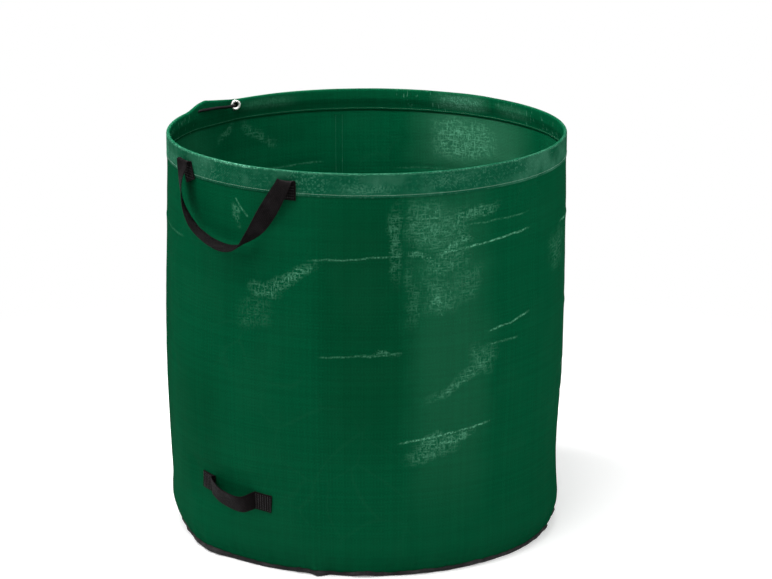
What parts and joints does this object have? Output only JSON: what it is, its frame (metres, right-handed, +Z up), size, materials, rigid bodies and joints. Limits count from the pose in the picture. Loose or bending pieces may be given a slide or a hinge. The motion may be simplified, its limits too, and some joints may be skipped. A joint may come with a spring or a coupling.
{
  "type": "garden waste bag",
  "caption": "Round free-standing garden waste bag of woven cloth with a rod in its hemmed rim, webbing carry handles at the rim and an emptying handle low on the wall.",
  "frame": {"origin": "middle of the flat base, on the surface that the bag stands on", "axes": "+Z up; the carry handles face -Y and +Y, and the emptying handle is low on the -Y side"},
  "size_m": [0.675, 0.7428, 0.682],
  "materials": {
    "laminated_cloth": "dark green woven tape cloth with a glossy lamination",
    "hem_cloth": "lighter matt green woven cloth",
    "black_webbing": "matt black woven webbing",
    "black_binding": "matt black binding",
    "rod_plastic": "smooth black plastic",
    "eyelet_metal": "bright pressed metal"
  },
  "bodies": {
    "bag": {"wall_fabric": "laminated_cloth", "base_panel": "laminated_cloth", "base_piping": "black_binding", "lower_handle_end_left": "black_webbing", "lower_handle_end_right": "black_webbing"},
    "rim": {"rim_hem": "hem_cloth", "rim_hoop": "rod_plastic", "eyelet_ring": "eyelet_metal", "eyelet_washer": "eyelet_metal", "front_handle_tab_left": "black_webbing", "front_handle_tab_right": "black_webbing", "back_handle_tab_left": "black_webbing", "back_handle_tab_right": "black_webbing"},
    "front_handle": {"front_handle_strap": "black_webbing"},
    "back_handle": {"back_handle_strap": "black_webbing"},
    "lower_handle": {"lower_handle_strap": "black_webbing"}
  },
  "joints": [
    {"name": "rim_collapse", "type": "slide", "parent": "bag", "child": "rim", "axis": [0, 0, -1], "range_m": [0, 0.32], "deforming": ["wall_fabric"]},
    {"name": "front_handle_swing", "type": "hinge", "parent": "rim", "child": "front_handle", "pos_m": [0, -0.32428, 0.6635], "axis": [-1, 0, 0], "range_deg": [0, 160]},
    {"name": "back_handle_swing", "type": "hinge", "parent": "rim", "child": "back_handle", "pos_m": [0, 0.32428, 0.6635], "axis": [1, 0, 0], "range_deg": [0, 160]},
    {"name": "lower_handle_lift", "type": "hinge", "parent": "bag", "child": "lower_handle", "pos_m": [0, -0.32845, 0.124], "axis": [-1, 0, 0], "range_deg": [0, 40]}
  ]
}
